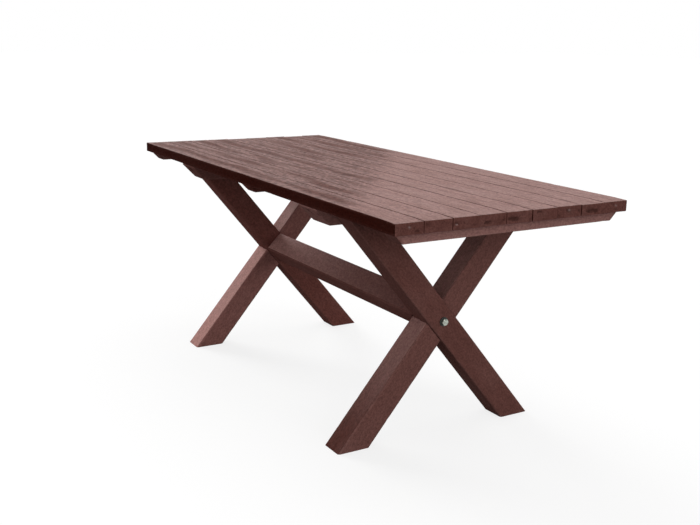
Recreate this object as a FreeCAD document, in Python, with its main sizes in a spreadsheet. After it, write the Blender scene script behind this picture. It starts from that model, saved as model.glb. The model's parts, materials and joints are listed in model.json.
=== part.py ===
import FreeCAD, Part
import os
import re
import Sketcher

# Long garden table of recycled plastic lumber on two crossed-leg trestles.
#
# Millimetres. X runs along the table, Y across it and Z up. The origin lies on the ground under
# the middle of the deck. The near trestle stands at +X. The far trestle is the same trestle
# turned half round about Z. In each trestle one leg is the outer leg, whose foot is on the side
# that the trestle's own +Y points to, and the other is the inner leg, which leans the other way.
# The two are half-lapped where they cross.

# Driving dimensions, each set by itself.
SIZES = {
    "table_length": 1800,
    "table_height": 750,
    "end_overhang": 313,            # deck's end to the outer leg's outward face
    "board_count": 9,
    "board_width": 87,
    "board_thickness": 34,
    "board_gap": 1,
    "board_edge_radius": 3,
    "board_end_chamfer": 1,
    "foot_spread": 708,             # over the outer corners of a trestle's two feet
    "leg_section": 83,
    "leg_proud": 8,                 # outer leg's face beyond the inner leg's face
    "lap_clearance": 0.3,
    "post_edge_radius": 7,
    "stretcher_section": 82,
    "stretcher_turn": 45,           # from faces level and upright, in degrees
    "stretcher_rise": 6,            # stretcher's axis above the crossing screws
    "bearer_width": 100,
    "bearer_depth": 50,
    "batten_width": 60,
    "batten_depth": 28,
    "batten_end_inset": 23,         # deck's end to the end batten's outward face
    "batten_side_inset": 16,        # deck's long edge to the tips of the battens
    "bar_tip": 3,                   # upright tip left above the slanted end of a bar
    "bar_edge_radius": 3,
    "crossing_screw_diameter": 12,
    "crossing_screw_flats": 19,
    "crossing_screw_head": 8,
    "crossing_screw_bite": 90,      # into the stretcher
    "leg_screw_diameter": 10,
    "leg_screw_flats": 17,
    "leg_screw_head": 7,
    "leg_screw_bite": 55,           # into the outer leg
    "crossing_washer_diameter": 28,
    "leg_washer_diameter": 24,
    "washer_thickness": 2.5,
    "deck_screw_diameter": 5,
    "deck_screw_head_diameter": 10,
    "deck_screw_head": 3.5,
    "deck_screw_bite": 24,          # into a deck board
    "screw_clearance": 0.3,
    "screw_point": 6,
    "hole_end_room": 1,
}

# Dimensions worked out from the driving ones.
DERIVED = {
    "board_pitch": "board_width + board_gap",
    "deck_width": "board_count * board_pitch - board_gap",
    "leg_height": "table_height - board_thickness",
    # Lean from upright at which a leg of this section just spans the foot spread.
    "lean": "acos(leg_section / sqrt(foot_spread ^ 2 + leg_height ^ 2)) - atan(leg_height / foot_spread)",
    "foot_cut": "leg_section / cos(lean)",
    "crossing_height": "leg_height / 2",
    "lap_reach": "foot_cut / tan(lean)",
    "lap_depth": "(leg_section - leg_proud) / 2",
    "outer_leg_face": "table_length / 2 - end_overhang",
    "outer_leg_back": "outer_leg_face - leg_section",
    "inner_leg_face": "outer_leg_face - leg_proud",
    "inner_leg_back": "inner_leg_face - leg_section",
    "bearer_back": "outer_leg_back - bearer_width",
    "bearer_middle": "outer_leg_back - bearer_width / 2",
    "batten_face": "table_length / 2 - batten_end_inset",
    "batten_middle": "batten_face - batten_width / 2",
    # Every bar takes two deck screws to a board, and one to each outermost board, whose outer
    # half lies above the bar's slanted end.
    "deck_screw_pitch": "board_pitch / 2",
    "deck_screw_count": "2 * board_count - 2",
    "deck_screw_run": "(deck_screw_count - 1) * deck_screw_pitch",
    # A leg's screw keeps to the middle between two deck screws, as near the leg's middle as it can.
    "leg_middle_at_bearer": "foot_spread / 2 - foot_cut / 2 - bearer_depth / 2 * tan(lean)",
    "leg_screw_offset": "round(leg_middle_at_bearer / deck_screw_pitch) * deck_screw_pitch",
    "leg_screw_height": "leg_height - bearer_depth / 2",
    "leg_screw_length": "bearer_width + leg_screw_bite - washer_thickness",
    "crossing_screw_length": "washer_thickness + leg_proud + leg_section + crossing_screw_bite",
}

# Place along the table of each bar's row of deck screws.
BAR_MIDDLES = {
    "end_batten_near": "batten_middle",
    "trestle_bearer_near": "bearer_middle",
    "middle_batten": "0",
    "trestle_bearer_far": "-bearer_middle",
    "end_batten_far": "-batten_middle",
}

# Outline of a pan head from its crown to its rim, as shares of the head's radius and height.
PAN_HEAD = ((0.6, 1), (0.9, 0.7), (1, 0.3))

doc = FreeCAD.newDocument("GardenTable")


def qualified(formula):
    """A formula with each dimension's name led by the sheet that holds it."""
    def lead(match):
        word = match.group()
        if word in SIZES:
            return "Sizes." + word
        if word in DERIVED:
            return "Derived." + word
        return word
    return re.sub(r"[a-z_]+", lead, formula)


def add_sheet(name, cells):
    sheet = doc.addObject("Spreadsheet::Sheet", name)
    for row, (alias, content) in enumerate(cells.items(), start=1):
        sheet.set(f"A{row}", alias)
        sheet.set(f"B{row}", content)
        sheet.setAlias(f"B{row}", alias)
    doc.recompute()
    return sheet


# ---------------------------------------------------------------- shared steps


def new_body(label, turn=0):
    """An empty body, turned about Z by a number of degrees."""
    body = doc.addObject("PartDesign::Body", label)
    body.Label = label
    body.Placement = FreeCAD.Placement(
        FreeCAD.Vector(), FreeCAD.Rotation(FreeCAD.Vector(0, 0, 1), turn))
    return body


def move_body(body, **formulas):
    """Binds the body's place along the named axes to formulas."""
    for axis, formula in formulas.items():
        body.setExpression(f"Placement.Base.{axis}", qualified(formula))


def origin_feature(body, role):
    return next(feature for feature in body.Origin.OriginFeatures if feature.Role == role)


def new_sketch(body, role, height="0"):
    """A sketch on one of the body's origin planes, raised along the plane's normal."""
    sketch = body.newObject("Sketcher::SketchObject", body.Name + "_sketch")
    sketch.AttachmentSupport = (origin_feature(body, role), [""])
    sketch.MapMode = "FlatFace"
    sketch.setExpression("AttachmentOffset.Base.z", qualified(height))
    return sketch


def value_of(holder, formula):
    result = holder.evalExpression(qualified(formula))
    return float(getattr(result, "Value", result))


def pin_point(sketch, geometry, position, x, y):
    """Holds a sketch point at a pair of formulas measured from the sketch's origin."""
    for kind, formula in (("DistanceX", x), ("DistanceY", y)):
        start = value_of(sketch, formula)
        index = sketch.addConstraint(Sketcher.Constraint(kind, -1, 1, geometry, position, start))
        sketch.setExpression(f"Constraints[{index}]", qualified(formula))


def add_outline(sketch, points):
    """A closed polygon through points, each a pair of formulas."""
    corners = [FreeCAD.Vector(value_of(sketch, x), value_of(sketch, y), 0) for x, y in points]
    first = sketch.GeometryCount
    for index, corner in enumerate(corners):
        sketch.addGeometry(Part.LineSegment(corner, corners[(index + 1) % len(corners)]))
    for index, (x, y) in enumerate(points):
        line = first + index
        following = first + (index + 1) % len(points)
        sketch.addConstraint(Sketcher.Constraint("Coincident", line, 2, following, 1))
        pin_point(sketch, line, 1, x, y)


def add_circle(sketch, x, y, diameter):
    centre = FreeCAD.Vector(value_of(sketch, x), value_of(sketch, y), 0)
    radius = value_of(sketch, diameter) / 2
    circle = sketch.addGeometry(Part.Circle(centre, FreeCAD.Vector(0, 0, 1), radius))
    pin_point(sketch, circle, 3, x, y)
    index = sketch.addConstraint(Sketcher.Constraint("Diameter", circle, 2 * radius))
    sketch.setExpression(f"Constraints[{index}]", qualified(diameter))


def pad(body, sketch, length):
    """Raises the sketch along its plane's normal."""
    feature = body.newObject("PartDesign::Pad", body.Name + "_pad")
    feature.Profile = sketch
    feature.setExpression("Length", qualified(length))
    doc.recompute()
    return feature


def pocket(body, sketch, depth, upward):
    """Cuts the sketch into the body, along its plane's normal or against it."""
    volume = body.Shape.Volume
    feature = body.newObject("PartDesign::Pocket", body.Name + "_pocket")
    feature.Profile = sketch
    feature.setExpression("Length", qualified(depth))
    feature.Reversed = upward
    doc.recompute()
    if body.Shape.Volume >= volume:
        raise RuntimeError(f"{body.Label}: {feature.Name} cuts nothing")
    return feature


def revolve(body, sketch, kind, axis_role):
    """Turns the sketch a full circle about one of the body's axes, adding or cutting."""
    feature = body.newObject(f"PartDesign::{kind}", body.Name + "_" + kind.lower())
    feature.Profile = sketch
    feature.ReferenceAxis = (origin_feature(body, axis_role), [""])
    feature.Angle = 360
    doc.recompute()
    return feature


def repeat_across(body, features, count, length):
    """Repeats features along Y."""
    pattern = body.newObject("PartDesign::LinearPattern", body.Name + "_pattern")
    pattern.Originals = features
    pattern.Direction = (origin_feature(body, "Y_Axis"), [""])
    pattern.setExpression("Length", qualified(length))
    pattern.setExpression("Occurrences", qualified(count))
    body.Tip = pattern
    doc.recompute()
    return pattern


def edges_along(shape, direction):
    """Names of the shape's straight edges that run along a direction."""
    names = []
    for number, edge in enumerate(shape.Edges, start=1):
        if isinstance(edge.Curve, Part.Line) and abs(edge.Curve.Direction.dot(direction)) > 0.9999:
            names.append(f"Edge{number}")
    return names


def edges_at_ends(shape):
    """Names of the edges that lie wholly in the shape's two end faces across X."""
    box = shape.BoundBox
    names = []
    for number, edge in enumerate(shape.Edges, start=1):
        reach = edge.BoundBox
        if min(abs(reach.XMax - box.XMin), abs(reach.XMin - box.XMax)) < 0.01:
            names.append(f"Edge{number}")
    return names


def round_edges(body, feature, names, radius):
    rounding = body.newObject("PartDesign::Fillet", body.Name + "_rounding")
    rounding.Base = (feature, names)
    rounding.setExpression("Radius", qualified(radius))
    doc.recompute()
    return rounding


def chamfer_edges(body, feature, names, size):
    chamfer = body.newObject("PartDesign::Chamfer", body.Name + "_chamfer")
    chamfer.Base = (feature, names)
    chamfer.setExpression("Size", qualified(size))
    doc.recompute()
    return chamfer


def hole_diameter(screw_diameter):
    return f"{screw_diameter} + 2 * screw_clearance"


# ---------------------------------------------------------------- deck


def build_deck_board(number):
    body = new_body(f"deck_board_{number}")
    section = new_sketch(body, "YZ_Plane", "-table_length / 2")
    half = "board_width / 2"
    add_outline(section, [
        (f"-{half}", "leg_height"), (half, "leg_height"),
        (half, "table_height"), (f"-{half}", "table_height")])
    bar = pad(body, section, "table_length")
    long_edges = edges_along(bar.Shape, FreeCAD.Vector(1, 0, 0))
    rounded = round_edges(body, bar, long_edges, "board_edge_radius")
    chamfer_edges(body, rounded, edges_at_ends(rounded.Shape), "board_end_chamfer")
    sides = {1: (1,), SIZES["board_count"]: (-1,)}.get(number, (-1, 1))
    holes = new_sketch(body, "XY_Plane", "leg_height")
    for along in BAR_MIDDLES.values():
        for side in sides:
            add_circle(holes, along, f"{side} * deck_screw_pitch / 2",
                       hole_diameter("deck_screw_diameter"))
    pocket(body, holes, "deck_screw_bite + hole_end_room", upward=True)
    move_body(body, y=f"({number} - (board_count + 1) / 2) * board_pitch")
    return body


def build_bar(label, back, width, depth, side_inset, turn=0):
    """A bar across the deck's underside, with slanted ends and rounded lower edges."""
    body = new_body(label, turn)
    section = new_sketch(body, "YZ_Plane", back)
    half = f"(deck_width / 2 - {side_inset})"
    slant = f"({depth} - bar_tip)"
    add_outline(section, [
        (f"-{half}", "leg_height"), (f"-{half}", "leg_height - bar_tip"),
        (f"-{half} + {slant}", f"leg_height - {depth}"), (f"{half} - {slant}", f"leg_height - {depth}"),
        (half, "leg_height - bar_tip"), (half, "leg_height")])
    bar = pad(body, section, width)
    bottom = value_of(body, f"leg_height - {depth}")
    lower_edges = [
        name for name in edges_along(bar.Shape, FreeCAD.Vector(0, 1, 0))
        if abs(bar.Shape.getElement(name).BoundBox.ZMax - bottom) < 0.01]
    round_edges(body, bar, lower_edges, "bar_edge_radius")
    return body


def drill_deck_screw_holes(body, along, depth):
    """The row of upright holes through a bar, evenly spaced across the table."""
    hole = new_sketch(body, "XY_Plane", f"leg_height - {depth}")
    add_circle(hole, along, "-deck_screw_run / 2", hole_diameter("deck_screw_diameter"))
    drilled = pocket(body, hole, depth, upward=True)
    repeat_across(body, [drilled], "deck_screw_count", "deck_screw_run")


def build_end_batten(end, turn):
    body = build_bar(f"end_batten_{end}", "batten_face - batten_width",
                     "batten_width", "batten_depth", "batten_side_inset", turn)
    drill_deck_screw_holes(body, "batten_middle", "batten_depth")
    return body


def build_middle_batten():
    body = build_bar("middle_batten", "-batten_width / 2", "batten_width", "batten_depth",
                     "batten_side_inset")
    drill_deck_screw_holes(body, "0", "batten_depth")
    return body


def build_trestle_bearer(end, turn):
    """The bar that the legs' tops bolt to, let in by the outer leg's stand-off at the inner leg."""
    body = build_bar(f"trestle_bearer_{end}", "bearer_back", "bearer_width", "bearer_depth", "0", turn)
    rebate = new_sketch(body, "YZ_Plane", "outer_leg_back")
    add_outline(rebate, leg_band(1, "leg_height - 2 * bearer_depth", "leg_height + bearer_depth",
                                 "lap_clearance"))
    pocket(body, rebate, "leg_proud", upward=False)
    leg_holes = new_sketch(body, "YZ_Plane", "bearer_back")
    for side in ("leg_screw_offset", "-leg_screw_offset"):
        add_circle(leg_holes, side, "leg_screw_height", hole_diameter("leg_screw_diameter"))
    pocket(body, leg_holes, "bearer_width", upward=True)
    drill_deck_screw_holes(body, "bearer_middle", "bearer_depth")
    return body


# ---------------------------------------------------------------- trestles


def leg_band(rise, low, high, clearance):
    """Outline across the table of a leg's stretch between two heights, widened by a clearance.

    rise is 1 for the inner leg, which leans towards +Y as it rises, and -1 for the outer leg.
    """
    def edge(start, height):
        return f"{rise} * ({start} + ({height}) * tan(lean))"
    foot = f"-foot_spread / 2 - {clearance} / cos(lean)"
    heel = f"-foot_spread / 2 + foot_cut + {clearance} / cos(lean)"
    return [(edge(foot, low), low), (edge(heel, low), low),
            (edge(heel, high), high), (edge(foot, high), high)]


def build_leg(label, rise, back, turn):
    """A square post cut level at both ends, with its long edges rounded."""
    body = new_body(label, turn)
    outline = new_sketch(body, "YZ_Plane", back)
    add_outline(outline, leg_band(rise, "0", "leg_height", "0"))
    post = pad(body, outline, "leg_section")
    lean = FreeCAD.Vector(0, rise * value_of(body, "sin(lean)"), value_of(body, "cos(lean)"))
    round_edges(body, post, edges_along(post.Shape, lean), "post_edge_radius")
    return body


def cut_lap(body, other_rise, plane, upward):
    """The half-lap that takes the other leg."""
    notch = new_sketch(body, "YZ_Plane", plane)
    add_outline(notch, leg_band(other_rise, "crossing_height - lap_reach",
                                "crossing_height + lap_reach", "lap_clearance"))
    pocket(body, notch, "lap_depth", upward)


def drill_leg(body, rise, back):
    """The through hole at the crossing, and the blind one that takes the bearer's screw."""
    crossing_hole = new_sketch(body, "YZ_Plane", back)
    add_circle(crossing_hole, "0", "crossing_height", hole_diameter("crossing_screw_diameter"))
    pocket(body, crossing_hole, "leg_section", upward=True)
    top_hole = new_sketch(body, "YZ_Plane", back)
    add_circle(top_hole, f"{rise} * leg_screw_offset", "leg_screw_height",
               hole_diameter("leg_screw_diameter"))
    pocket(body, top_hole, f"outer_leg_back + leg_screw_bite + hole_end_room - {back}", upward=True)


def build_outer_leg(end, turn):
    body = build_leg(f"leg_outer_{end}", -1, "outer_leg_back", turn)
    cut_lap(body, 1, "outer_leg_back", upward=True)
    drill_leg(body, -1, "outer_leg_back")
    return body


def build_inner_leg(end, turn):
    body = build_leg(f"leg_inner_{end}", 1, "inner_leg_back", turn)
    cut_lap(body, -1, "inner_leg_face", upward=False)
    drill_leg(body, 1, "inner_leg_back")
    return body


def build_stretcher():
    """The post between the crossings, turned about its own length."""
    body = new_body("stretcher")
    section = new_sketch(body, "YZ_Plane", "-inner_leg_back")
    corners = []
    for along, beside in ((-1, -1), (1, -1), (1, 1), (-1, 1)):
        across = f"stretcher_section / 2 * ({along} * sin(stretcher_turn) + {beside} * cos(stretcher_turn))"
        upright = f"stretcher_section / 2 * ({along} * cos(stretcher_turn) - {beside} * sin(stretcher_turn))"
        corners.append((across, f"crossing_height + stretcher_rise + {upright}"))
    add_outline(section, corners)
    post = pad(body, section, "2 * inner_leg_back")
    round_edges(body, post, edges_along(post.Shape, FreeCAD.Vector(1, 0, 0)), "post_edge_radius")
    for plane, upward in (("inner_leg_back", False), ("-inner_leg_back", True)):
        hole = new_sketch(body, "YZ_Plane", plane)
        add_circle(hole, "0", "crossing_height", hole_diameter("crossing_screw_diameter"))
        pocket(body, hole, "crossing_screw_bite + hole_end_room", upward)
    return body


# ---------------------------------------------------------------- fasteners


def build_coach_screw(label, turn, diameter, flats, head, length):
    """A hexagon-head screw along X, its head beyond the origin and its shank before it."""
    body = new_body(label, turn)
    hexagon = new_sketch(body, "YZ_Plane")
    add_outline(hexagon, [
        (f"{flats} / sqrt(3) * cos({corner * 60} deg)", f"{flats} / sqrt(3) * sin({corner * 60} deg)")
        for corner in range(6)])
    block = pad(body, hexagon, head)
    profile = new_sketch(body, "XZ_Plane")
    add_outline(profile, [
        (f"{head} / 2", "0"), (f"{head} / 2", f"{diameter} / 2"),
        (f"screw_point - ({length})", f"{diameter} / 2"), (f"-({length})", "0")])
    shank = revolve(body, profile, "Revolution", "X_Axis")
    corner_cut = new_sketch(body, "XZ_Plane")
    add_outline(corner_cut, [
        (head, f"{flats} / 2"), (head, flats), (f"{head} - {flats} / 2 * tan(30 deg)", flats)])
    crown = revolve(body, corner_cut, "Groove", "X_Axis")
    return body, [block, shank, crown]


def build_crossing_screw(end, turn):
    body, _ = build_coach_screw(
        f"crossing_screw_{end}", turn, "crossing_screw_diameter", "crossing_screw_flats",
        "crossing_screw_head", "crossing_screw_length")
    outward = 1 if turn == 0 else -1
    move_body(body, x=f"{outward} * (outer_leg_face + washer_thickness)", z="crossing_height")
    return body


def build_leg_top_screws(end, turn):
    """Two screws through the bearer, their heads on its side towards the table's middle."""
    body, features = build_coach_screw(
        f"leg_top_screws_{end}", turn + 180, "leg_screw_diameter", "leg_screw_flats",
        "leg_screw_head", "leg_screw_length")
    repeat_across(body, features, "2", "2 * leg_screw_offset")
    place_leg_top_pair(body, turn, "washer_thickness")
    return body


def place_leg_top_pair(body, turn, stand_off):
    """Moves a pair, built from its own origin towards its +Y, to the bearer's inward side."""
    outward = 1 if turn == 0 else -1
    move_body(body, x=f"{outward} * (bearer_back - {stand_off})", y=f"{outward} * leg_screw_offset",
              z="leg_screw_height")


def build_washer(label, turn, outside, screw_diameter):
    body = new_body(label, turn)
    ring = new_sketch(body, "YZ_Plane")
    add_circle(ring, "0", "0", outside)
    add_circle(ring, "0", "0", hole_diameter(screw_diameter))
    return body, pad(body, ring, "washer_thickness")


def build_crossing_washer(end, turn):
    body, _ = build_washer(f"crossing_washer_{end}", turn, "crossing_washer_diameter",
                           "crossing_screw_diameter")
    outward = 1 if turn == 0 else -1
    move_body(body, x=f"{outward} * outer_leg_face", z="crossing_height")
    return body


def build_leg_top_washers(end, turn):
    body, disc = build_washer(f"leg_top_washers_{end}", turn + 180, "leg_washer_diameter",
                              "leg_screw_diameter")
    repeat_across(body, [disc], "2", "2 * leg_screw_offset")
    place_leg_top_pair(body, turn, "0")
    return body


def build_deck_screws(bar, along):
    """The row of pan-head screws that points up through a bar into the deck boards."""
    depth = "bearer_depth" if "bearer" in bar else "batten_depth"
    body = new_body("deck_screws_" + bar)
    profile = new_sketch(body, "XZ_Plane")
    rim = "deck_screw_head_diameter / 2"
    shank = "deck_screw_diameter / 2"
    length = f"({depth} + deck_screw_bite)"
    crown = [(f"{width} * {rim}", f"-{drop} * deck_screw_head") for width, drop in PAN_HEAD]
    add_outline(profile, [("0", "-deck_screw_head")] + crown + [
        (rim, "0"), (shank, "0"), (shank, f"{length} - screw_point"), ("0", length)])
    screw = revolve(body, profile, "Revolution", "Z_Axis")
    repeat_across(body, [screw], "deck_screw_count", "deck_screw_run")
    move_body(body, x=along, y="-deck_screw_run / 2", z=f"leg_height - {depth}")
    return body


# ---------------------------------------------------------------- whole table


def build_table():
    add_sheet("Sizes", {alias: str(number) for alias, number in SIZES.items()})
    add_sheet("Derived", {alias: "=" + qualified(formula) for alias, formula in DERIVED.items()})
    pieces = [build_deck_board(number) for number in range(1, SIZES["board_count"] + 1)]
    pieces += [build_middle_batten(), build_stretcher()]
    builders = (
        build_end_batten, build_trestle_bearer, build_outer_leg, build_inner_leg,
        build_crossing_screw, build_crossing_washer, build_leg_top_screws, build_leg_top_washers)
    for end, turn in (("near", 0), ("far", 180)):
        pieces += [build(end, turn) for build in builders]
    pieces += [build_deck_screws(bar, along) for bar, along in BAR_MIDDLES.items()]
    return pieces


def check_document(pieces):
    for item in doc.Objects:
        if {"Invalid", "Error"} & set(item.State):
            raise RuntimeError(f"{item.Name} failed: {item.State}")
    for piece in pieces:
        if piece.Shape.isNull() or not piece.Shape.isValid():
            raise RuntimeError(f"{piece.Label} has no sound shape")


def export_pieces(pieces):
    os.makedirs("parts", exist_ok=True)
    for piece in pieces:
        piece.Shape.exportStep(os.path.join("parts", piece.Label + ".step"))
        print(f"{piece.Label}: {len(piece.Shape.Solids)} solid(s), {piece.Shape.Volume / 1000:.1f} cm3")


table = build_table()
doc.recompute()
check_document(table)
export_pieces(table)
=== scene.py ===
import json
import math

import bmesh
import bpy
from mathutils import Matrix, Vector, noise


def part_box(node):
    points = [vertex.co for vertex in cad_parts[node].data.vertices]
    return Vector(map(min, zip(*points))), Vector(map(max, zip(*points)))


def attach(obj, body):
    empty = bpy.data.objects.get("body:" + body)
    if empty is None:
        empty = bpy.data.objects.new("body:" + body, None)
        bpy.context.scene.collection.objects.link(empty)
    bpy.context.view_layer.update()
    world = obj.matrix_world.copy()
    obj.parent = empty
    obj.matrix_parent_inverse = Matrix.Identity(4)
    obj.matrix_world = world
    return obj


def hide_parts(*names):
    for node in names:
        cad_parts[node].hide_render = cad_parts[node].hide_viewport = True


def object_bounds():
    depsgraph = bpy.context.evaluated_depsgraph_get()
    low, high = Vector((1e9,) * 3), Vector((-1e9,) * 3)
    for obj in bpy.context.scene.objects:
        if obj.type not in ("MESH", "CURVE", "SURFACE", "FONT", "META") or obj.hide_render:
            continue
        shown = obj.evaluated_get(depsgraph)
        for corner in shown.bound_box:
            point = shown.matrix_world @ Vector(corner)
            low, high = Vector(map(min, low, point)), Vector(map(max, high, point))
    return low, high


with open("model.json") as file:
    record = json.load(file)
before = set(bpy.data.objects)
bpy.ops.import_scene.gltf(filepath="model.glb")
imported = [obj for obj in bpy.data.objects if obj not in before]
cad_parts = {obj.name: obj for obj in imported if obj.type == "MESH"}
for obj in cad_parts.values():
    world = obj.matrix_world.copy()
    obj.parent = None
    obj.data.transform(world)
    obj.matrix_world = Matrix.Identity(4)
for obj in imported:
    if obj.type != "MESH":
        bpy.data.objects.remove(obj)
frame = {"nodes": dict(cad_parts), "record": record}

# A long garden table of brown recycled-plastic lumber on two crossed-leg trestles.
#
# Metres, in the CAD frame: X along the table, Y across it, Z up. The visible lumber pieces are
# finely meshed copies of the CAD solids, worn inwards by up to a millimetre on their faces and
# three on their sawn ends. Coach screws and washers are the CAD solids themselves. The deck
# screws are remade with their drive recesses.

CAD_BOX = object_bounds()
X = Vector((1, 0, 0))
Y = Vector((0, 1, 0))
Z = Vector((0, 0, 1))

# Camera.
CAMERA_PLACE = Vector((2.767, -1.649, 1.203))
CAMERA_AZIMUTH = math.radians(58.86)
CAMERA_DROP = math.radians(13.81)
CAMERA_ROLL = math.radians(1.125)
CAMERA_LENS = 48.72
CAMERA_SENSOR = 36.0

# Lumber mesh.
STATION_PITCH = 0.012       # between cuts across a piece's length
SECTION_PITCH = 0.004       # between cuts along it
WAVE_DEPTH = 0.0004
DISH_DEPTH = 0.0005         # how far a face's middle has shrunk back
NICK_DEPTH = 0.0009
HOLLOW_DEPTH = 0.0030
END_REACH = 0.008           # how far from a board's end its set-back is taken up
END_SET_BACK = 0.0030
BURR = 0.0007               # how far the sawn end of a board is drawn out towards its neighbours
END_DROOP = 0.0014          # how much thinner a board may be at its end
MARK_HEIGHT = 0.004         # mould mark above the middle of a board's end
MARK_SIZE = (0.0015, 0.0050)    # radii at which the mould mark starts to fade and is gone
ARRIS_REACH = 0.007         # how far from an arris the wear shows
SKIN = 0.006                # solid skin round the porous core of a sawn end
UPWARD = 0.6                # a face whose normal rises more than this takes the paler upper finish, weathered and lighter by painted light
SEAM_WANDER = 0.0008        # how far a board lies beside its true place
WELD = 1e-6                 # vertices nearer than this are one

# What each vertex of a lumber piece tells its material.
NOTED_NUMBERS = ("seed", "row", "arris", "grime", "sawn", "core", "hollow", "mark")
NOTED_VECTORS = ("grain", "tint", "upward_tint")

# Deck screw mesh.
SCREW_SIDES = 36
SCREW_HEAD = 0.0035
SCREW_SHANK = 0.005
SCREW_POINT = 0.006

# Colours, linear.
BROWN = (0.135, 0.052, 0.043)
BROWN_DARK = (0.090, 0.033, 0.026)
BROWN_PALE = (0.195, 0.095, 0.083)
# The deck's upper face: pale from weathering and lighter still by a painted sheen.
BLEACHED_WITH_SHEEN = (0.325, 0.200, 0.183)
BLEACHED_PALE_WITH_SHEEN = (0.370, 0.238, 0.220)
BLEACHED_DARK = (0.130, 0.052, 0.042)
SHADED = (0.037, 0.0060, 0.0035)
PALING = Vector((0.083, 0.050, 0.046))      # what one step of paleness adds to a brown
REDDENING = Vector((0.0, -0.012, -0.012))   # what one step of redness adds
CORE = (0.034, 0.013, 0.010)
MARK_PALE = (0.270, 0.180, 0.165)
ZINC = (0.45, 0.48, 0.42)
WASHER_GREY = (0.07, 0.075, 0.07)

# By the start of a piece's name: steps of paleness of its sides, of its upward faces at its near or
# lower end and of those at its other end, and steps of redness. Most of this is painted light:
# the paleness lightens pieces and their ends by the light that falls there, besides some
# weathering, and the redness paints the redder look of pieces in shade.
WEAR_AND_PAINTED_LIGHT = {
    "deck_board": (0.10, 0.00, 0.00, 0.0),
    "end_batten": (1.75, 1.75, 1.75, 0.0),
    "trestle_bearer_near": (1.70, 1.70, 1.70, 0.5),
    "trestle_bearer_far": (0.70, 0.70, 0.70, 0.5),
    "middle_batten": (0.15, 0.15, 0.15, 1.3),
    "stretcher": (0.35, 0.90, 3.70, 0.6),
    "leg_inner_near": (0.50, -0.40, 2.45, 0.0),
    "leg_outer_near": (0.20, 0.00, 0.00, 0.0),
    "leg_outer_far": (1.65, 4.50, 4.50, 1.2),
    "leg_inner_far": (0.42, 0.90, 0.90, 1.0),
}

# Most steps of paleness that a sawn end takes, bearers aside: it holds back the painted light on
# sawn ends.
SAWN_PALENESS = 0.45

# The fade of the deck's painted sheen, which keeps the near part lighter: where along the middle
# board it starts to fade and where it is gone, and how far that shifts along the table for each
# step across it.
PAINTED_SHEEN_FADE = (0.34, 0.03)
PAINTED_SHEEN_SLANT = 1.25

# The lumber's textures: stretch along, across and through a piece, scale, detail, roughness.
TEXTURES = {
    "clouds": ((0.5, 1.0, 1.0), 11.0, 2.0, 0.55),
    "streaks": ((0.16, 1.0, 1.0), 60.0, 3.0, 0.55),
    "flecks": ((0.6, 1.0, 1.0), 85.0, 2.0, 0.60),
    "mottle": ((0.7, 1.0, 1.0), 190.0, 3.0, 0.62),
    "grit": ((1.0, 1.0, 1.0), 620.0, 2.0, 0.60),
    "stain_path": ((3.0, 0.0, 0.0), 1.0, 1.0, 0.55),
    "stain_breaks": ((2.2, 26.0, 1.0), 1.0, 2.0, 0.55),
    "seam_dirt": ((6.0, 0.0, 0.0), 1.0, 2.0, 0.55),
    "rubbing": ((0.16, 1.0, 1.0), 40.0, 3.0, 0.55),
    "chip_kinds": ((1.0, 1.0, 1.0), 60.0, 0.0, 0.55),
    "pores": ((1.0, 1.0, 1.0), 330.0, 3.0, 0.60),
    "gloss": ((0.16, 1.0, 1.0), 30.0, 3.0, 0.55),
}
CHIP_SCALE = 110.0
PEBBLE_STRETCH = (0.16, 1.0, 1.0)
PEBBLE_SCALE = 260.0

# Light, as the brightness that a white surface facing it takes on, with where it comes from.
AMBIENT = 0.34
OVERHEAD = {"place": (-0.30, 0.30, 0.90), "level": 0.30, "softness": 60}
FAR_END = {"place": (-0.90, -0.08, 0.36), "level": 0.75, "softness": 25}
NEAR_END = {"place": (0.95, 0.10, 0.20), "level": 0.42, "softness": 50}
LONG_SIDE = {"place": (0.20, -0.90, 0.30), "level": 0.10, "softness": 60}
FLOOR_BOUNCE = 0.22
FLOOR_GLOW = 0.80


# ---------------------------------------------------------------- node helpers


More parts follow.
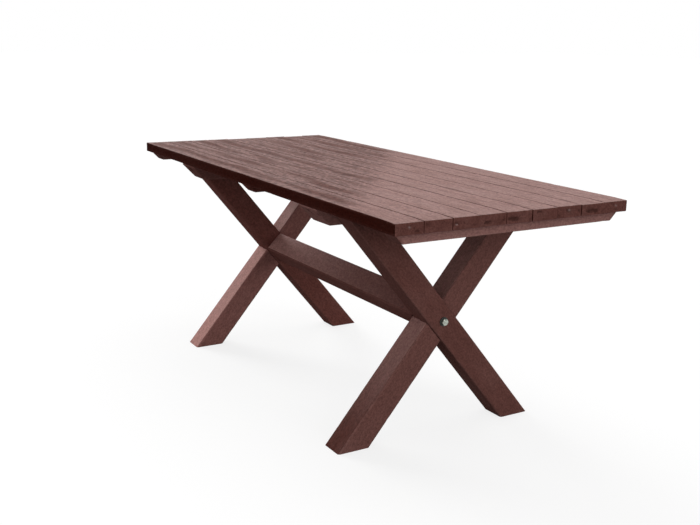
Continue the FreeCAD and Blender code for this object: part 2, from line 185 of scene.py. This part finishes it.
class Shader:
    """A material under construction: short calls add nodes and return their outputs."""

    def __init__(self, name):
        self.material = bpy.data.materials.new(name)
        self.material.use_nodes = True
        self.nodes = self.material.node_tree.nodes
        self.links = self.material.node_tree.links
        self.surface = self.nodes["Principled BSDF"]

    def add(self, kind, output=0, settings=None, **inputs):
        node = self.nodes.new("ShaderNode" + kind)
        for key, value in (settings or {}).items():
            setattr(node, key, value)
        for key, value in inputs.items():
            place = int(key[1:]) if key[1:].isdigit() else key.replace("_", " ")
            self.put(node.inputs[place], value)
        return node.outputs[output]

    def put(self, socket, value):
        if isinstance(value, bpy.types.NodeSocket):
            self.links.new(value, socket)
        else:
            socket.default_value = value

    def math(self, operation, first, second=0.0, clamp=False):
        return self.add("Math", settings={"operation": operation, "use_clamp": clamp},
                        _0=first, _1=second)

    def product(self, first, second):
        return self.math("MULTIPLY", first, second)

    def attribute(self, name, output="Fac"):
        return self.add("Attribute", output, settings={"attribute_name": name})

    def stretched(self, vector, scale):
        return self.add("VectorMath", settings={"operation": "MULTIPLY"}, _0=vector, _1=scale)

    def noise(self, vector, scale, detail, roughness=0.55):
        return self.add("TexNoise", "Fac", Vector=vector, Scale=scale, Detail=detail,
                        Roughness=roughness)

    def span(self, value, low, high, to_low=0.0, to_high=1.0):
        """Value carried from low..high to to_low..to_high, held at the ends."""
        return self.add("MapRange", settings={"interpolation_type": "SMOOTHSTEP"}, Value=value,
                        From_Min=low, From_Max=high, To_Min=to_low, To_Max=to_high)

    def blend(self, factor, first, second):
        node = self.nodes.new("ShaderNodeMix")
        node.data_type = "RGBA"
        for place, value in ((0, factor), (6, first), (7, second)):
            self.put(node.inputs[place], (*value, 1.0) if isinstance(value, tuple) else value)
        return node.outputs[2]

    def brighten(self, colour, factor):
        """Colour times a factor."""
        return self.add("VectorMath", settings={"operation": "SCALE"}, _0=colour, Scale=factor)

    def bump(self, height, distance, normal=None):
        inputs = {"Height": height, "Distance": distance, "Strength": 1.0}
        if normal is not None:
            inputs["Normal"] = normal
        return self.add("Bump", **inputs)


# ---------------------------------------------------------------- materials


def texture(s, spot, name):
    """One of the lumber's textures at a spot in a piece."""
    stretch, scale, detail, roughness = TEXTURES[name]
    return s.noise(s.stretched(spot, stretch), scale, detail, roughness)


def deck_tone(s, spot, place, arris, clouds, streaks, flecks):
    """The deck's upper face: bleached, and lighter by a painted sheen, with dirt in its seams.
    Where the painted sheen fades out it is darker, more flecked, and stained along the middles of
    its boards."""
    along = s.add("SeparateXYZ", "X", _0=place)
    across = s.add("SeparateXYZ", "Y", _0=place)
    aside = s.product(s.math("ADD", across, s.attribute("row")), PAINTED_SHEEN_SLANT)
    painted_sheen_faded = s.span(s.math("ADD", along, aside), *PAINTED_SHEEN_FADE)
    wander = s.span(texture(s, spot, "stain_path"), 0.3, 0.7, -0.012, 0.012)
    middle = s.span(s.math("ABSOLUTE", s.math("ADD", across, wander)), 0.032, 0.008)
    broken = s.span(texture(s, spot, "stain_breaks"), 0.28, 0.56)
    stain = s.product(s.product(middle, broken), s.span(painted_sheen_faded, 0.0, 1.0, 0.0, 0.80))
    tone = s.blend(s.span(clouds, 0.30, 0.70, 0.0, 0.35), BLEACHED_WITH_SHEEN, BLEACHED_PALE_WITH_SHEEN)
    tone = s.blend(s.span(streaks, 0.34, 0.62, 0.28, 0.0), tone, BLEACHED_DARK)
    tone = s.blend(stain, tone, BLEACHED_DARK)
    # Painted sheen: the tone is kept at full lightness in the near part and falls to three quarters
    # where the sheen has faded.
    tone = s.brighten(tone, s.span(painted_sheen_faded, 0.0, 1.0, 1.0, 0.76))
    depth = s.span(painted_sheen_faded, 0.0, 1.0, 0.12, 0.34)
    speckle = s.product(depth, s.span(flecks, 0.3, 0.7, -1.0, 1.0))
    tone = s.brighten(tone, s.math("ADD", 1.0, speckle))
    packed = s.span(texture(s, spot, "seam_dirt"), 0.35, 0.6, 0.35, 1.0)
    grime = s.product(s.attribute("grime"), packed)
    return s.blend(s.product(s.span(arris, 0.72, 0.97), grime), tone, CORE)


def edge_tone(s, arris, clouds, streaks):
    """A board's side, painted in shade: near black-brown, browner at its arrises."""
    tone = s.blend(s.span(clouds, 0.35, 0.75, 0.0, 0.15), SHADED, BROWN_DARK)
    return s.blend(s.product(arris, s.span(streaks, 0.30, 0.62, 0.0, 0.4)), tone, BROWN)


def frame_tone(s, spot, arris, clouds, streaks, flecks, tint):
    """Any other face: streaked brown, rubbed pale at the arrises, and tinted by its piece, a tint
    that is mostly painted light and shade.
    """
    tone = s.blend(s.span(streaks, 0.34, 0.66, 0.30, 0.0), BROWN, BROWN_DARK)
    tone = s.blend(s.span(clouds, 0.45, 0.70, 0.0, 0.22), tone, BROWN_PALE)
    wear = s.product(arris, s.span(texture(s, spot, "rubbing"), 0.30, 0.62, 0.10, 0.55))
    tone = s.blend(wear, tone, BROWN_PALE)
    tone = s.add("VectorMath", settings={"operation": "ADD"}, _0=tone,
                 _1=s.attribute(tint, "Vector"))
    return s.brighten(tone, s.span(flecks, 0.3, 0.7, 0.94, 1.06))


def chipped(s, tone, spot, pale):
    """A tone with pale and dark chips of other plastic in it."""
    chips = s.add("TexVoronoi", "Distance", Vector=spot, Scale=CHIP_SCALE, Randomness=1.0)
    which = texture(s, spot, "chip_kinds")
    chip = s.span(chips, 0.20, 0.12)
    pale_chip = s.product(chip, s.span(which, 0.60, 0.66, 0.0, 0.30))
    dark_chip = s.product(chip, s.span(which, 0.42, 0.36, 0.0, 0.45))
    return s.blend(dark_chip, s.blend(pale_chip, tone, pale), CORE)


def lumber_material(name, kind, specular, roughness):
    """Moulded recycled plastic: finely mottled, with a pebbled skin and porous sawn ends.

    The deck kind is the deck's upper face, with its painted sheen, and the edge kind a board's
    side, painted in shade. The upward kind is any other face that rises, tinted paler by painted
    light and some weathering, and the plain kind all the rest.
    """
    s = Shader(name)
    place = s.attribute("grain", "Vector")
    seed = s.attribute("seed")
    arris = s.attribute("arris")
    sawn = s.attribute("sawn")
    shift = s.add("CombineXYZ", X=s.product(seed, 7.3), Y=s.product(seed, 3.1),
                  Z=s.product(seed, 5.7))
    spot = s.add("VectorMath", settings={"operation": "ADD"}, _0=place, _1=shift)
    clouds, streaks, flecks, mottle, grit = [
        texture(s, spot, key) for key in ("clouds", "streaks", "flecks", "mottle", "grit")]

    if kind == "deck":
        tone = deck_tone(s, spot, place, arris, clouds, streaks, flecks)
    elif kind == "edge":
        tone = edge_tone(s, arris, clouds, streaks)
    else:
        tint = "upward_tint" if kind == "upward" else "tint"
        tone = frame_tone(s, spot, arris, clouds, streaks, flecks, tint)
    tone = s.brighten(tone, s.span(mottle, 0.28, 0.72, 0.80, 1.20))
    tone = s.brighten(tone, s.span(grit, 0.25, 0.75, 0.92, 1.08))
    tone = chipped(s, tone, spot, BLEACHED_PALE_WITH_SHEEN if kind == "deck" else BROWN_PALE)

    # A sawn end: pores in the core, shrinkage hollows, and a pale mould mark above the middle.
    pore = s.product(s.span(texture(s, spot, "pores"), 0.60, 0.68), s.attribute("core"))
    marked = s.product(s.attribute("mark"), sawn)
    end_tone = s.blend(s.product(pore, 0.35), tone, CORE)
    end_tone = s.blend(s.product(s.attribute("hollow"), 0.60), end_tone, CORE)
    end_tone = s.blend(marked, end_tone, MARK_PALE)
    s.put(s.surface.inputs["Base Color"], s.blend(sawn, tone, end_tone))

    gloss = s.span(texture(s, spot, "gloss"), 0.3, 0.7, roughness, roughness + 0.15)
    s.put(s.surface.inputs["Roughness"], s.math("ADD", gloss, s.product(sawn, 0.2), clamp=True))
    s.surface.inputs["Specular IOR Level"].default_value = specular

    pebbles = s.add("TexVoronoi", "Distance", settings={"feature": "SMOOTH_F1"}, Smoothness=0.6,
                    Vector=s.stretched(spot, PEBBLE_STRETCH), Scale=PEBBLE_SCALE)
    pits = s.product(s.product(pore, sawn), -1.0)
    relief = s.bump(flecks, 0.0028 if kind == "deck" else 0.0014)
    for height, distance in ((mottle, 0.0008), (pebbles, 0.0004), (grit, 0.0002), (pits, 0.0010)):
        relief = s.bump(height, distance, relief)
    s.put(s.surface.inputs["Normal"], relief)
    return s.material


def metal_material(name, colour, roughness, dull):
    """Plated steel with cloudy plating and duller patches."""
    s = Shader(name)
    spot = s.add("TexCoord", "Object")
    clouds = s.noise(spot, 260.0, 4.0, 0.6)
    spangle = s.add("TexVoronoi", "Distance", Vector=spot, Scale=420.0)
    tarnish = s.span(clouds, 0.36, 0.64, 0.0, dull)
    deep = tuple(0.28 * channel for channel in colour)
    tone = s.blend(tarnish, colour, deep)
    tone = s.brighten(tone, s.span(spangle, 0.0, 0.6, 0.92, 1.06))
    s.put(s.surface.inputs["Base Color"], tone)
    s.surface.inputs["Metallic"].default_value = 1.0
    s.put(s.surface.inputs["Roughness"], s.span(clouds, 0.3, 0.7, roughness, roughness + 0.18))
    s.put(s.surface.inputs["Normal"], s.bump(s.noise(spot, 1400.0, 2.0), 0.00008))
    return s.material


# ---------------------------------------------------------------- lumber pieces


def leg_lean():
    """Lean from upright of a post that just fills its own box, foot corner to top corner."""
    low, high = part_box("leg_outer_near")
    section = high.x - low.x
    spread = high.y - low.y
    height = high.z - low.z
    return math.acos(section / math.hypot(spread, height)) - math.atan2(height, spread)


def axes_of(name):
    """A lumber piece's own axes: along it, across it and through it."""
    if name.startswith("deck_board"):
        return X, Y, Z
    if name.startswith("stretcher"):
        return X, Vector((0, 1, -1)).normalized(), Vector((0, 1, 1)).normalized()
    if name.startswith("leg"):
        lean = leg_lean()
        rise = 1 if name in ("leg_inner_near", "leg_outer_far") else -1
        return (Vector((0, rise * math.sin(lean), math.cos(lean))), X,
                Vector((0, math.cos(lean), -rise * math.sin(lean))))
    return Y, X, Z


def reach_along(mesh, axis):
    places = [axis.dot(vertex.co) for vertex in mesh.verts]
    return min(places), max(places)


def cut_finely(mesh, axes):
    """Cuts the faces into cells, evenly along each axis."""
    bmesh.ops.remove_doubles(mesh, verts=mesh.verts, dist=WELD)
    bmesh.ops.dissolve_limit(mesh, angle_limit=math.radians(0.2), verts=mesh.verts,
                             edges=mesh.edges)
    for axis, pitch in zip(axes, (STATION_PITCH, SECTION_PITCH, SECTION_PITCH)):
        low, high = reach_along(mesh, axis)
        count = round((high - low) / pitch)
        for step in range(1, count):
            everything = mesh.verts[:] + mesh.edges[:] + mesh.faces[:]
            bmesh.ops.bisect_plane(mesh, geom=everything, dist=WELD, plane_no=axis,
                                   plane_co=axis * (low + (high - low) * step / count))


def smooth_rise(value, low, high):
    share = min(max((value - low) / (high - low), 0.0), 1.0)
    return share * share * (3 - 2 * share)


def is_sawn(name, normal, along):
    """True where a face is one of the piece's sawn ends."""
    if name.startswith("leg"):
        return abs(normal.z) > 0.95
    if along == Y:
        return abs(normal.y) > 0.3
    return abs(normal.dot(along)) > 0.95


def chance(number):
    """A steady share from 0 to 1 for a number."""
    return 0.5 + 0.5 * noise.cell(Vector((number * 97.3, number * 31.7, 0.5)))


def tints_of(name):
    """What a piece's brown gains, mostly painted light and shade: on sides, sawn ends and upward
    faces at one end and the other.
    """
    side, low, high, redness = [steps for start, steps in WEAR_AND_PAINTED_LIGHT.items() if name.startswith(start)][0]
    sawn = side if name.startswith("trestle_bearer") else min(side, SAWN_PALENESS)
    steps = (side, sawn, low, high)
    return [paleness * PALING + redness * REDDENING for paleness in steps]


def face_move(vertex, local, spot, halves, sawn, arris, hollow):
    """How far a vertex of any piece has worn or shrunk inwards."""
    to_side = halves[1] - abs(local.y)
    to_face = halves[2] - abs(local.z)
    wave = WAVE_DEPTH * (0.5 + 0.5 * noise.noise(Vector((spot.x * 5, spot.y * 9, spot.z * 9))))
    wide = local.y / halves[1] if to_face < to_side else local.z / halves[2]
    dish = 0.0 if sawn else DISH_DEPTH * (1 - wide * wide)
    dent = noise.noise(Vector((spot.x * 45, spot.y * 60, spot.z * 60)))
    nick = NICK_DEPTH * arris * smooth_rise(dent, 0.25, 0.75)
    return -(wave + dish + nick + HOLLOW_DEPTH * hollow) * vertex.normal


def board_move(local, axes, halves, seed, aside, has_neighbour):
    """How a board's vertex is moved besides: the board lies a little aside, and its ends are set
    back, drawn out towards the neighbours and thinner."""
    along, across, through = axes
    side = 1 if local.x > 0 else -1
    to_end = halves[0] - abs(local.x)
    move = aside * smooth_rise(to_end, 0.0, 0.03) * across
    if to_end < END_REACH:
        move -= side * END_SET_BACK * chance(seed + side * 5.3) * along
    if has_neighbour:
        burr = BURR * (1 - smooth_rise(to_end, 0.0, 0.02))
        burr *= smooth_rise(abs(local.y), 0.8 * halves[1], halves[1])
        move += math.copysign(burr, local.y) * across
    if local.z > 0:
        droop = END_DROOP * chance(seed * 4.1 + side)
        move -= droop * (1 - smooth_rise(to_end, 0.0, 0.06)) * through
    return move


def hollow_at(inner, spot):
    """Share of the full depth that a sawn end's core has shrunk to, from 0 to 1."""
    sunk = noise.noise(Vector((spot.x * 9, spot.y * 38, spot.z * 75)))
    return smooth_rise(inner, SKIN * 0.4, SKIN) * smooth_rise(sunk, 0.30, 0.50)


def wear_piece(name, mesh, axes, seed):
    """Moves each vertex a little inwards and notes the values that the material reads."""
    along = axes[0]
    spans = [reach_along(mesh, axis) for axis in axes]
    middles = [(low + high) / 2 for low, high in spans]
    halves = [(high - low) / 2 for low, high in spans]
    is_board = name.startswith("deck_board")
    mark_strength = smooth_rise(chance(seed * 3.7), 0.35, 0.65) if is_board else 0.0
    is_inner = is_board and abs(middles[1]) + halves[1] < CAD_BOX[1][1] - halves[1]
    aside = SEAM_WANDER * (chance(seed * 2.3) - 0.5) if is_inner else 0.0
    grime = 0.25 + 0.7 * chance(seed * 1.3)
    side_tint, sawn_tint, low_tint, high_tint = tints_of(name)
    layers = {key: mesh.verts.layers.float.new(key) for key in NOTED_NUMBERS}
    layers.update((key, mesh.verts.layers.float_vector.new(key)) for key in NOTED_VECTORS)
    shift = Vector((seed * 1.7, seed * 4.3, seed * 2.9))
    end_side = -1 if along == X else 1
    fade_end = halves[0] if along == X else 0.0
    moves = []
    for vertex in mesh.verts:
        local = Vector([axis.dot(vertex.co) - middle for axis, middle in zip(axes, middles)])
        spot = local + shift
        to_side = halves[1] - abs(local.y)
        to_face = halves[2] - abs(local.z)
        inner = min(to_side, to_face)
        sawn = any(is_sawn(name, face.normal, along) for face in vertex.link_faces)
        arris = 1 - smooth_rise(max(to_side, to_face), 0.0, ARRIS_REACH)
        hollow = hollow_at(inner, spot) if sawn else 0.0
        move = face_move(vertex, local, spot, halves, sawn, arris, hollow)
        if is_board:
            has_neighbour = is_inner or local.y * middles[1] < 0
            move += board_move(local, axes, halves, seed, aside, has_neighbour)
        moves.append((vertex, move))
        mark_reach = math.hypot(local.y, local.z - MARK_HEIGHT)
        height = smooth_rise(local.x * end_side, -halves[0], fade_end)
        notes = {
            "seed": seed, "row": middles[1], "arris": arris, "grime": grime,
            "sawn": 1.0 if sawn else 0.0,
            "core": smooth_rise(inner, SKIN * 0.6, SKIN * 1.6),
            "hollow": hollow,
            "mark": mark_strength * (1 - smooth_rise(mark_reach, *MARK_SIZE)),
            "grain": local,
            "tint": sawn_tint if sawn else side_tint,
            "upward_tint": low_tint.lerp(high_tint, height),
        }
        for key, value in notes.items():
            vertex[layers[key]] = value
    for vertex, move in moves:
        vertex.co += move


def build_lumber(name, seed, slot):
    """A finely meshed, worn copy of a CAD lumber piece, which stands for it."""
    axes = axes_of(name)
    worked = bmesh.new()
    worked.from_mesh(frame["nodes"][name].data)
    cut_finely(worked, axes)
    worked.normal_update()
    wear_piece(name, worked, axes, seed)
    data = bpy.data.meshes.new(name + "_lumber")
    worked.to_mesh(data)
    worked.free()
    if "custom_normal" in data.attributes:
        data.attributes.remove(data.attributes["custom_normal"])
    data.shade_smooth()
    data.set_sharp_from_angle(angle=math.radians(40))
    data.materials.clear()
    is_board = slot == "deck_plastic"
    upper = "deck_plastic" if is_board else "upward_plastic"
    for finish in ("frame_plastic", upper, "edge_plastic"):
        data.materials.append(MATERIALS[finish])
    # Rising faces take the deck's finish or the upward one, lighter by painted light; a board's
    # sides take the edge finish, painted shade.
    for face in data.polygons:
        face.material_index = 1 if face.normal.z > UPWARD else 0
        if is_board and abs(face.normal.y) > UPWARD:
            face.material_index = 2
    return add_piece(data, slot, name)


def add_piece(data, slot, *stands_for):
    piece = bpy.data.objects.new(data.name, data)
    bpy.context.scene.collection.objects.link(piece)
    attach(piece, "root")
    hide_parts(*stands_for)
    return piece


# ---------------------------------------------------------------- deck screws


def islands(mesh):
    """The boxes of a mesh's separate solids, each a pair of corners."""
    loose = bmesh.new()
    loose.from_mesh(mesh)
    bmesh.ops.remove_doubles(loose, verts=loose.verts, dist=WELD)
    waiting = set(loose.verts)
    boxes = []
    while waiting:
        found = [waiting.pop()]
        for vertex in found:
            for edge in vertex.link_edges:
                other = edge.other_vert(vertex)
                if other in waiting:
                    waiting.remove(other)
                    found.append(other)
        places = [vertex.co for vertex in found]
        boxes.append((Vector([min(place[axis] for place in places) for axis in range(3)]),
                      Vector([max(place[axis] for place in places) for axis in range(3)])))
    loose.free()
    return boxes


def add_ring(mesh, centre, radius, height, lobe=0.0):
    """A ring of vertices about an upright axis, waved in and out six times by a lobe's share."""
    ring = []
    for step in range(SCREW_SIDES):
        angle = 2 * math.pi * step / SCREW_SIDES
        reach = radius * (1 + lobe * math.cos(6 * angle))
        ring.append(mesh.verts.new((centre.x + reach * math.cos(angle),
                                    centre.y + reach * math.sin(angle), height)))
    return ring


def add_deck_screw(mesh, low, high):
    """A pan-head screw with a six-lobed recess, pointing up, in the box of the CAD one."""
    centre = (low + high) / 2
    rim = (high.x - low.x) / 2
    seat = low.z + SCREW_HEAD
    rings = [
        add_ring(mesh, centre, rim * 0.10, low.z + SCREW_HEAD * 0.62),
        add_ring(mesh, centre, rim * 0.40, low.z + SCREW_HEAD * 0.60, 0.16),
        add_ring(mesh, centre, rim * 0.43, low.z + SCREW_HEAD * 0.03, 0.16),
        add_ring(mesh, centre, rim * 0.60, low.z),
        add_ring(mesh, centre, rim * 0.78, low.z + SCREW_HEAD * 0.10),
        add_ring(mesh, centre, rim * 0.92, low.z + SCREW_HEAD * 0.32),
        add_ring(mesh, centre, rim, low.z + SCREW_HEAD * 0.62),
        add_ring(mesh, centre, rim, seat),
        add_ring(mesh, centre, SCREW_SHANK / 2, seat),
        add_ring(mesh, centre, SCREW_SHANK / 2, high.z - SCREW_POINT),
        add_ring(mesh, centre, SCREW_SHANK / 20, high.z),
    ]
    for inner, outer in zip(rings, rings[1:]):
        for step in range(SCREW_SIDES):
            following = (step + 1) % SCREW_SIDES
            mesh.faces.new((inner[step], inner[following], outer[following], outer[step]))
    mesh.faces.new(list(reversed(rings[0])))
    mesh.faces.new(rings[-1])


def build_deck_screws(name, slot):
    mesh = bmesh.new()
    for low, high in islands(frame["nodes"][name].data):
        add_deck_screw(mesh, low, high)
    bmesh.ops.recalc_face_normals(mesh, faces=mesh.faces)
    data = bpy.data.meshes.new(name + "_recessed")
    mesh.to_mesh(data)
    mesh.free()
    data.shade_smooth()
    data.set_sharp_from_angle(angle=math.radians(35))
    data.materials.append(MATERIALS[slot])
    return add_piece(data, slot, name)


# ---------------------------------------------------------------- stage


def build_camera():
    ahead = Vector((-math.sin(CAMERA_AZIMUTH) * math.cos(CAMERA_DROP),
                    math.cos(CAMERA_AZIMUTH) * math.cos(CAMERA_DROP), -math.sin(CAMERA_DROP)))
    right = ahead.cross(Z).normalized()
    up = right.cross(ahead)
    turned_right = right * math.cos(CAMERA_ROLL) + up * math.sin(CAMERA_ROLL)
    turned_up = up * math.cos(CAMERA_ROLL) - right * math.sin(CAMERA_ROLL)
    data = bpy.data.cameras.new("camera")
    data.lens = CAMERA_LENS
    data.sensor_width = CAMERA_SENSOR
    camera = bpy.data.objects.new("camera", data)
    turn = Matrix((turned_right, turned_up, -ahead)).transposed()
    camera.matrix_world = Matrix.Translation(CAMERA_PLACE) @ turn.to_4x4()
    bpy.context.scene.collection.objects.link(camera)
    bpy.context.scene.camera = camera


def build_floor():
    """A large level plane at the feet: white to the eye, pale grey to the light it throws back."""
    size = 40.0
    corners = [(-size, -size, 0), (size, -size, 0), (size, size, 0), (-size, size, 0)]
    data = bpy.data.meshes.new("floor")
    data.from_pydata(corners, [], [(0, 1, 2, 3)])
    floor = bpy.data.objects.new("floor", data)
    bpy.context.scene.collection.objects.link(floor)
    s = Shader("floor")
    s.nodes.remove(s.surface)
    path = s.nodes.new("ShaderNodeLightPath").outputs
    seen = s.math("MAXIMUM", s.math("MAXIMUM", path["Is Camera Ray"], path["Is Glossy Ray"]),
                  path["Is Transmission Ray"])
    matt = s.add("BsdfDiffuse", Color=(FLOOR_BOUNCE, FLOOR_BOUNCE, FLOOR_BOUNCE, 1.0))
    glow = s.add("Emission", Color=(1.0, 1.0, 1.0, 1.0), Strength=s.product(seen, FLOOR_GLOW))
    both = s.add("AddShader", _0=matt, _1=glow)
    s.put(s.nodes["Material Output"].inputs["Surface"], both)
    data.materials.append(s.material)


def build_world():
    """White to the eye and in reflections, and a dim even light otherwise."""
    world = bpy.data.worlds.new("studio")
    world.use_nodes = True
    nodes = world.node_tree.nodes
    links = world.node_tree.links
    path = nodes.new("ShaderNodeLightPath").outputs
    direct = nodes.new("ShaderNodeMath")
    direct.operation = "MAXIMUM"
    links.new(path["Is Camera Ray"], direct.inputs[0])
    links.new(path["Is Glossy Ray"], direct.inputs[1])
    seen = nodes.new("ShaderNodeMath")
    seen.operation = "MAXIMUM"
    links.new(direct.outputs[0], seen.inputs[0])
    links.new(path["Is Transmission Ray"], seen.inputs[1])
    strength = nodes.new("ShaderNodeMapRange")
    strength.inputs["To Min"].default_value = AMBIENT
    strength.inputs["To Max"].default_value = 1.0
    links.new(seen.outputs[0], strength.inputs["Value"])
    nodes["Background"].inputs["Color"].default_value = (1.0, 1.0, 1.0, 1.0)
    links.new(strength.outputs["Result"], nodes["Background"].inputs["Strength"])
    bpy.context.scene.world = world


def add_lamp(name, place, level, softness):
    """A distant soft lamp. A sun's strength is pi times the brightness it gives a white face."""
    data = bpy.data.lights.new(name, "SUN")
    data.energy = level * math.pi
    data.angle = math.radians(softness)
    lamp = bpy.data.objects.new(name, data)
    lamp.rotation_euler = Vector(place).to_track_quat("Z", "Y").to_euler()
    bpy.context.scene.collection.objects.link(lamp)


# ---------------------------------------------------------------- whole scene

bpy.context.scene.view_settings.view_transform = "Standard"
build_camera()
build_floor()
build_world()
add_lamp("overhead", **OVERHEAD)
add_lamp("far_end", **FAR_END)
add_lamp("near_end", **NEAR_END)
add_lamp("long_side", **LONG_SIDE)

zinc = metal_material("zinc_steel", ZINC, 0.28, 0.70)
MATERIALS = {
    "deck_plastic": lumber_material("deck_plastic", "deck", 0.02, 0.55),
    "frame_plastic": lumber_material("frame_plastic", "plain", 0.012, 0.75),
    "upward_plastic": lumber_material("upward_plastic", "upward", 0.03, 0.60),
    "edge_plastic": lumber_material("edge_plastic", "edge", 0.008, 0.75),
    "zinc_steel": zinc,
    "screw_steel": zinc,
    "washer_steel": metal_material("washer_steel", WASHER_GREY, 0.45, 0.6),
}

for number, part in enumerate(frame["record"]["subparts"], start=1):
    node = part["node"]
    slot = part["material_slot"]
    if slot.endswith("plastic"):
        build_lumber(node, number * 0.37, slot)
    elif slot == "screw_steel":
        build_deck_screws(node, slot)
    else:
        solid = frame["nodes"][node].data
        solid.materials.clear()
        solid.materials.append(MATERIALS[slot])
